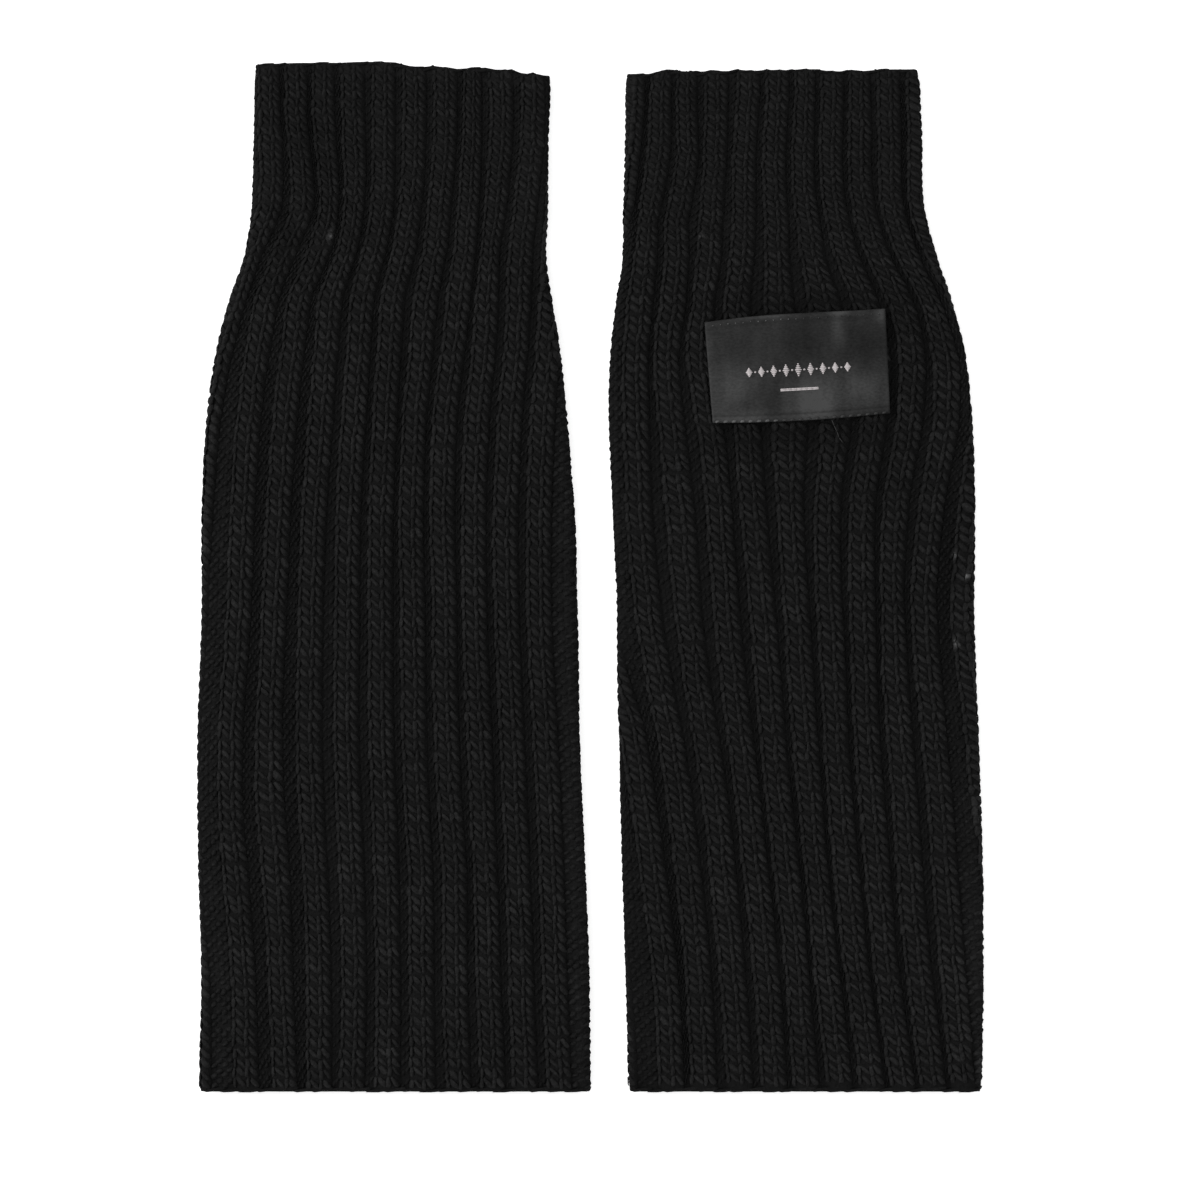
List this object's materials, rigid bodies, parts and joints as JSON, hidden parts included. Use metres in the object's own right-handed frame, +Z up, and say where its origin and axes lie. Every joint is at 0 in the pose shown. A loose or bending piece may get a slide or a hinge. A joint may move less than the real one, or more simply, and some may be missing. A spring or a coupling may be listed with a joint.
{
  "type": "pair of leg warmers",
  "caption": "Rib-knitted leg warmers with tight cuffs, laid flat side by side, with a satin label on the front of one leg.",
  "frame": {"origin": "on the surface that the pair lies on, under the middle of the box round both legs", "axes": "+Y along the legs towards the cuffs, +X to the right across the pair, +Z up off the surface"},
  "size_m": [0.2914, 0.3808, 0.0088],
  "materials": {
    "knit": "matte bulky rib knit in black yarn",
    "label_satin": "charcoal woven satin with a soft sheen"
  },
  "bodies": {
    "root": {"left_leg_tube": "knit", "right_leg_tube": "knit", "sewn_label": "label_satin"}
  },
  "joints": []
}
